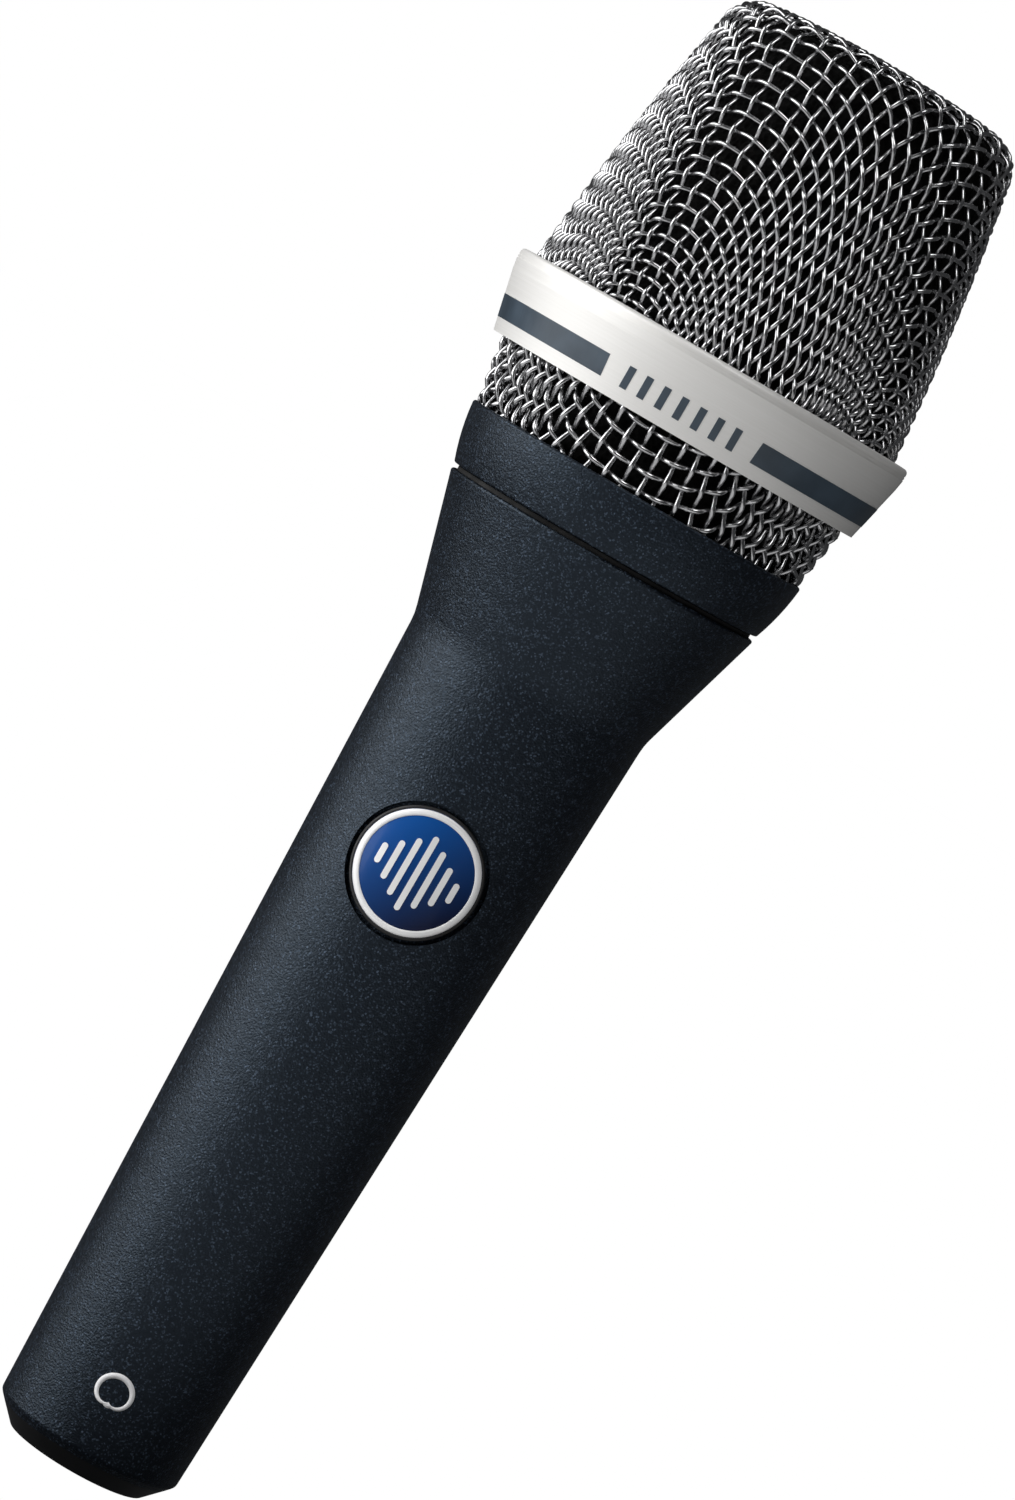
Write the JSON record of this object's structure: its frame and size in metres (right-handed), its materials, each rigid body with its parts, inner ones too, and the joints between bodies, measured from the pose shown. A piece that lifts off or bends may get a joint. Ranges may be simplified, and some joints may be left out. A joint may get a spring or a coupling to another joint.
{
  "type": "dynamic microphone",
  "caption": "Handheld dynamic microphone with tapered dark metal handle, woven-wire grille head, plain metal band and three-pin socket in the end.",
  "frame": {"origin": "centre of the socket's end face, on the axis, so the microphone stands on its socket end", "axes": "+Z along the axis from the socket to the grille, -Y towards the badge, +X to the right of the badge"},
  "size_m": [0.051, 0.051, 0.1855],
  "materials": {
    "casing_paint": "fine metal-flake satin paint",
    "thread_metal": "turned and plated",
    "rubber_black": "matt",
    "badge_enamel": "blue enamel in a light metal rim",
    "socket_black": "black, low sheen",
    "insert_plastic": "moulded",
    "contact_metal": "plated",
    "screw_steel": "blackened",
    "board_green": "solder mask",
    "choke_ferrite": "ferrite",
    "capacitor_plastic": "dipped",
    "foam_black": "open-cell foam",
    "lead_black": "insulation",
    "lead_red": "insulation",
    "wire_steel": "woven wire",
    "band_nickel": "satin nickel",
    "capsule_aluminium": "turned",
    "coil_copper": "enamelled copper winding",
    "felt_grey": "felt",
    "magnet_iron": "zinc plated",
    "diaphragm_film": "thin film"
  },
  "bodies": {
    "handle": {"handle_casing": "casing_paint", "neck_thread_ring": "thread_metal", "neck_gasket": "rubber_black", "badge_plate": "badge_enamel", "xlr_shell": "socket_black", "xlr_insert": "insert_plastic", "xlr_pin_1": "contact_metal", "xlr_pin_2": "contact_metal", "xlr_pin_3": "contact_metal", "ground_contact": "contact_metal", "set_screw": "screw_steel", "filter_board": "board_green", "filter_choke": "choke_ferrite", "filter_capacitors": "capacitor_plastic", "filter_resistors": "capacitor_plastic", "board_damper": "foam_black", "pin_lead_1": "lead_black", "pin_lead_2": "lead_black", "pin_lead_3": "lead_black", "lead_hot": "lead_red", "lead_cold": "lead_black", "capsule_cradle": "insert_plastic", "cradle_screws": "screw_steel", "shock_mount_rear": "rubber_black", "shock_mount_front": "rubber_black"},
    "windscreen": {"foam_windscreen": "foam_black"},
    "grille": {"grille_collar": "casing_paint", "grille_lower_mesh": "wire_steel", "grille_band": "band_nickel", "grille_upper_mesh": "wire_steel"},
    "capsule": {"capsule_housing": "capsule_aluminium", "hum_coil": "coil_copper", "rear_port_felt": "felt_grey", "capsule_terminals": "contact_metal", "magnet_yoke": "magnet_iron", "magnet": "magnet_iron", "pole_plate": "magnet_iron", "diaphragm_clamp_ring": "insert_plastic", "front_felt": "felt_grey", "capsule_front_cap": "insert_plastic"},
    "diaphragm": {"diaphragm": "diaphragm_film", "voice_coil": "coil_copper"}
  },
  "joints": [
    {"name": "grille_lift", "type": "slide", "parent": "handle", "child": "windscreen", "axis": [0, 0, 1], "range_m": [0, 0.045]},
    {"name": "grille_unscrew", "type": "hinge", "parent": "windscreen", "child": "grille", "pos_m": [0, 0, 0.1216], "axis": [0, 0, 1], "range_deg": [0, 1080]},
    {"name": "capsule_float", "type": "slide", "parent": "handle", "child": "capsule", "axis": [0, 0, 1], "range_m": [-0.0008, 0.0008], "stiffness_N_per_m": 3000, "deforming": ["shock_mount_rear", "lead_hot", "lead_cold"]},
    {"name": "diaphragm_travel", "type": "slide", "parent": "capsule", "child": "diaphragm", "axis": [0, 0, 1], "range_m": [-0.0003, 0.0003], "stiffness_N_per_m": 400}
  ]
}
